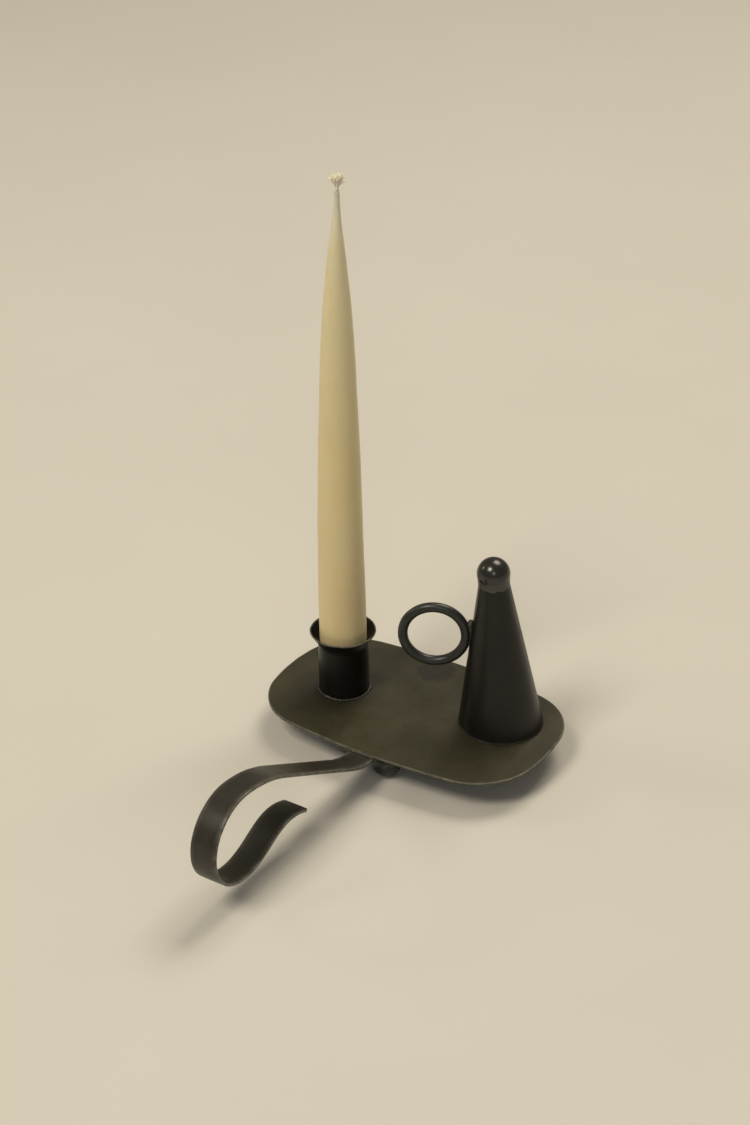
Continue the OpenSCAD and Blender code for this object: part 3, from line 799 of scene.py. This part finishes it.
def build_knob():
    v, f = turned_ball((0, 0, KNOB_Z), stand, 0.0, rows=84, n=120, seed=7.0)
    make("knob_ball", v, f, IRON_BALL, "snuffer", "snuffer_knob", {"wear": np.zeros(len(v))}, sharp=60)
    # brazing between the ball and the cone: an uneven collar
    n, h = 144, CONE_H
    profile = spline([(6.6, h - 1.6), (7.36, h - 1.9), (7.5, h - 0.9), (7.56, h + 0.1), (7.5, h + 1.0), (7.56, h + 1.9), (7.7, h + 2.7), (7.3, h + 2.7), (6.5, h + 1.0)], 4, closed=True)

    def change(t, r, z):
        q = np.stack([7 * np.cos(t), 7 * np.sin(t), np.full_like(t, z)], 1)
        sag = np.clip((h + 0.6 - z) / 2, 0, 1) * (0.55 * rough(q * (1, 1, 0), 1 / 5, 3.3) + 0.2 * rough(q * (1, 1, 0), 1 / 1.9, 5.3))
        return r + (r > 7) * (0.1 * rough(q, 1 / 2.6, 1.9) + 0.05 * rough(q, 1 / 1.1, 8.1)), z + sag

    v, f = lathe(profile, n, (0, 0, 0), change)
    make("knob_braze", stand(v), f, IRON_WELD, "snuffer", None, {"wear": np.full(len(v), 0.12)}, sharp=80)


def build_ring():
    n, m = 200, 28
    t = np.linspace(0, 2 * math.pi, n, endpoint=False)
    s = np.linspace(0, 2 * math.pi, m, endpoint=False)
    v = []
    gap = math.radians(12)                            # where the wire's two ends meet, beside the flank
    for a in t:
        d = (a - (math.pi + gap) + math.pi) % (2 * math.pi) - math.pi
        r = WIRE_R + 0.03 * noise.noise(Vector((math.cos(a) * 3, math.sin(a) * 3, 1.0))) - 0.22 * math.exp(-(d * RING_MID / 0.35) ** 2)
        mid = RING_MID + 0.1 * math.cos(2 * a + 0.7)
        x = RING_X + (mid + r * np.cos(s)) * math.cos(a)
        z = RING_Z + (mid + r * np.cos(s)) * math.sin(a)
        v.append(np.stack([x, r * np.sin(s), z], 1))
    v = stand(np.concatenate(v))
    make("finger_ring", v, tube_faces(n, m, closed_rings=True), IRON_RING, "snuffer", "snuffer_ring", {"wear": np.zeros(len(v))}, sharp=80)

    rng = np.random.default_rng(9)
    balls = []
    for dz in np.arange(-5.6, 6.1, 0.42):
        z = RING_Z + dz + 0.2
        flank = CONE_R - SLOPE * z
        wire = RING_X - math.sqrt((RING_MID + WIRE_R) ** 2 - dz ** 2)
        x = (flank + wire) / 2
        wide = 1.45 - 0.02 * dz * dz + 0.18 * rng.random()
        r = max(0.55, (wire - flank) / 2 + 0.55) * (0.9 + 0.15 * rng.random())
        for y in (-wide, -wide * 0.4, wide * 0.4, wide):
            balls.append((x - 0.15 * abs(y), y, z + 0.15 * rng.random(), r))
    places = stand(np.array([b[:3] for b in balls]))
    blobs("ring_weld", [(*p, b[3]) for p, b in zip(places, balls)], IRON_WELD, "snuffer", voxel=0.16, smooth=5)


build_cone()
build_knob()
build_ring()

# ---------------------------------------------------------------- floor, light, camera
CAMERA_A, CAMERA_E = math.radians(33.35), math.radians(30.957)
TOWARDS = Vector((math.sin(CAMERA_A), -math.cos(CAMERA_A), 0))
RIGHT = Vector((math.cos(CAMERA_A), math.sin(CAMERA_A), 0))
UP = Vector((0, 0, 1))

floor_mat = Nodes("floor")
floor_tone = floor_mat.mix(floor_mat.span(floor_mat.noise(5, 3, 0.5), 0.3, 0.7, 0.0, 1.0), (0.585, 0.56, 0.52), (0.605, 0.58, 0.54))
floor_mat = floor_mat.finish({"Base Color": floor_tone, "Roughness": 0.9, "Specular IOR Level": 0.15})
floor_mesh = bpy.data.meshes.new("floor")
floor_mesh.from_pydata([(-6, -6, -0.0002), (6, -6, -0.0002), (6, 6, -0.0002), (-6, 6, -0.0002)], [], [(0, 1, 2, 3)])
floor_mesh.materials.append(floor_mat)
floor = bpy.data.objects.new("floor", floor_mesh)
bpy.context.scene.collection.objects.link(floor)

world = bpy.data.worlds.new("studio")
bpy.context.scene.world = world
world.use_nodes = True
world.node_tree.nodes["Background"].inputs["Color"].default_value = (1.0, 0.92, 0.72, 1)
world.node_tree.nodes["Background"].inputs["Strength"].default_value = 0.21

AIM = Vector((-0.005, 0.055, 0.09))


def softbox(name, right, towards, up, distance, size, power, colour):
    d = (RIGHT * right + TOWARDS * towards + UP * up).normalized()
    light = bpy.data.lights.new(name, "AREA")
    light.shape, light.size, light.size_y = "RECTANGLE", size[0], size[1]
    light.energy, light.color = power, colour
    obj = bpy.data.objects.new(name, light)
    bpy.context.scene.collection.objects.link(obj)
    obj.location = AIM + d * distance
    obj.rotation_euler = (-d).to_track_quat("-Z", "Y").to_euler()


softbox("overhead", 0.32, -0.40, 0.859, 2.4, (1.12, 1.12), 32.5, (1.0, 0.915, 0.75))
softbox("front_left", -0.417, 0.411, 0.811, 2.4, (0.75, 0.75), 29.5, (1.0, 0.915, 0.75))
softbox("front", 0.0, 0.857, 0.515, 2.85, (0.67, 0.67), 7.2, (0.88, 0.93, 0.98))
softbox("left", -0.849, -0.272, 0.452, 2.4, (0.52, 0.52), 5.8, (1.0, 0.94, 0.82))

cam = bpy.data.cameras.new("camera")
cam.lens, cam.sensor_width, cam.sensor_fit = 72.888, 36.0, "AUTO"
cam.clip_start, cam.clip_end = 0.05, 50
camera = bpy.data.objects.new("camera", cam)
bpy.context.scene.collection.objects.link(camera)
target = Vector((-26.06, TRAY_Y + 6.64, 88.2)) * MM
back = (TOWARDS * math.cos(CAMERA_E) + UP * math.sin(CAMERA_E)).normalized()
rt0 = RIGHT
up0 = back.cross(rt0)
roll = math.radians(0.998)
rt, upv = math.cos(roll) * rt0 - math.sin(roll) * up0, math.sin(roll) * rt0 + math.cos(roll) * up0
spot = target + back * 1.1
camera.matrix_world = Matrix(((rt.x, upv.x, back.x, spot.x), (rt.y, upv.y, back.y, spot.y), (rt.z, upv.z, back.z, spot.z), (0, 0, 0, 1)))
bpy.context.scene.camera = camera
bpy.context.scene.view_settings.view_transform = "Standard"
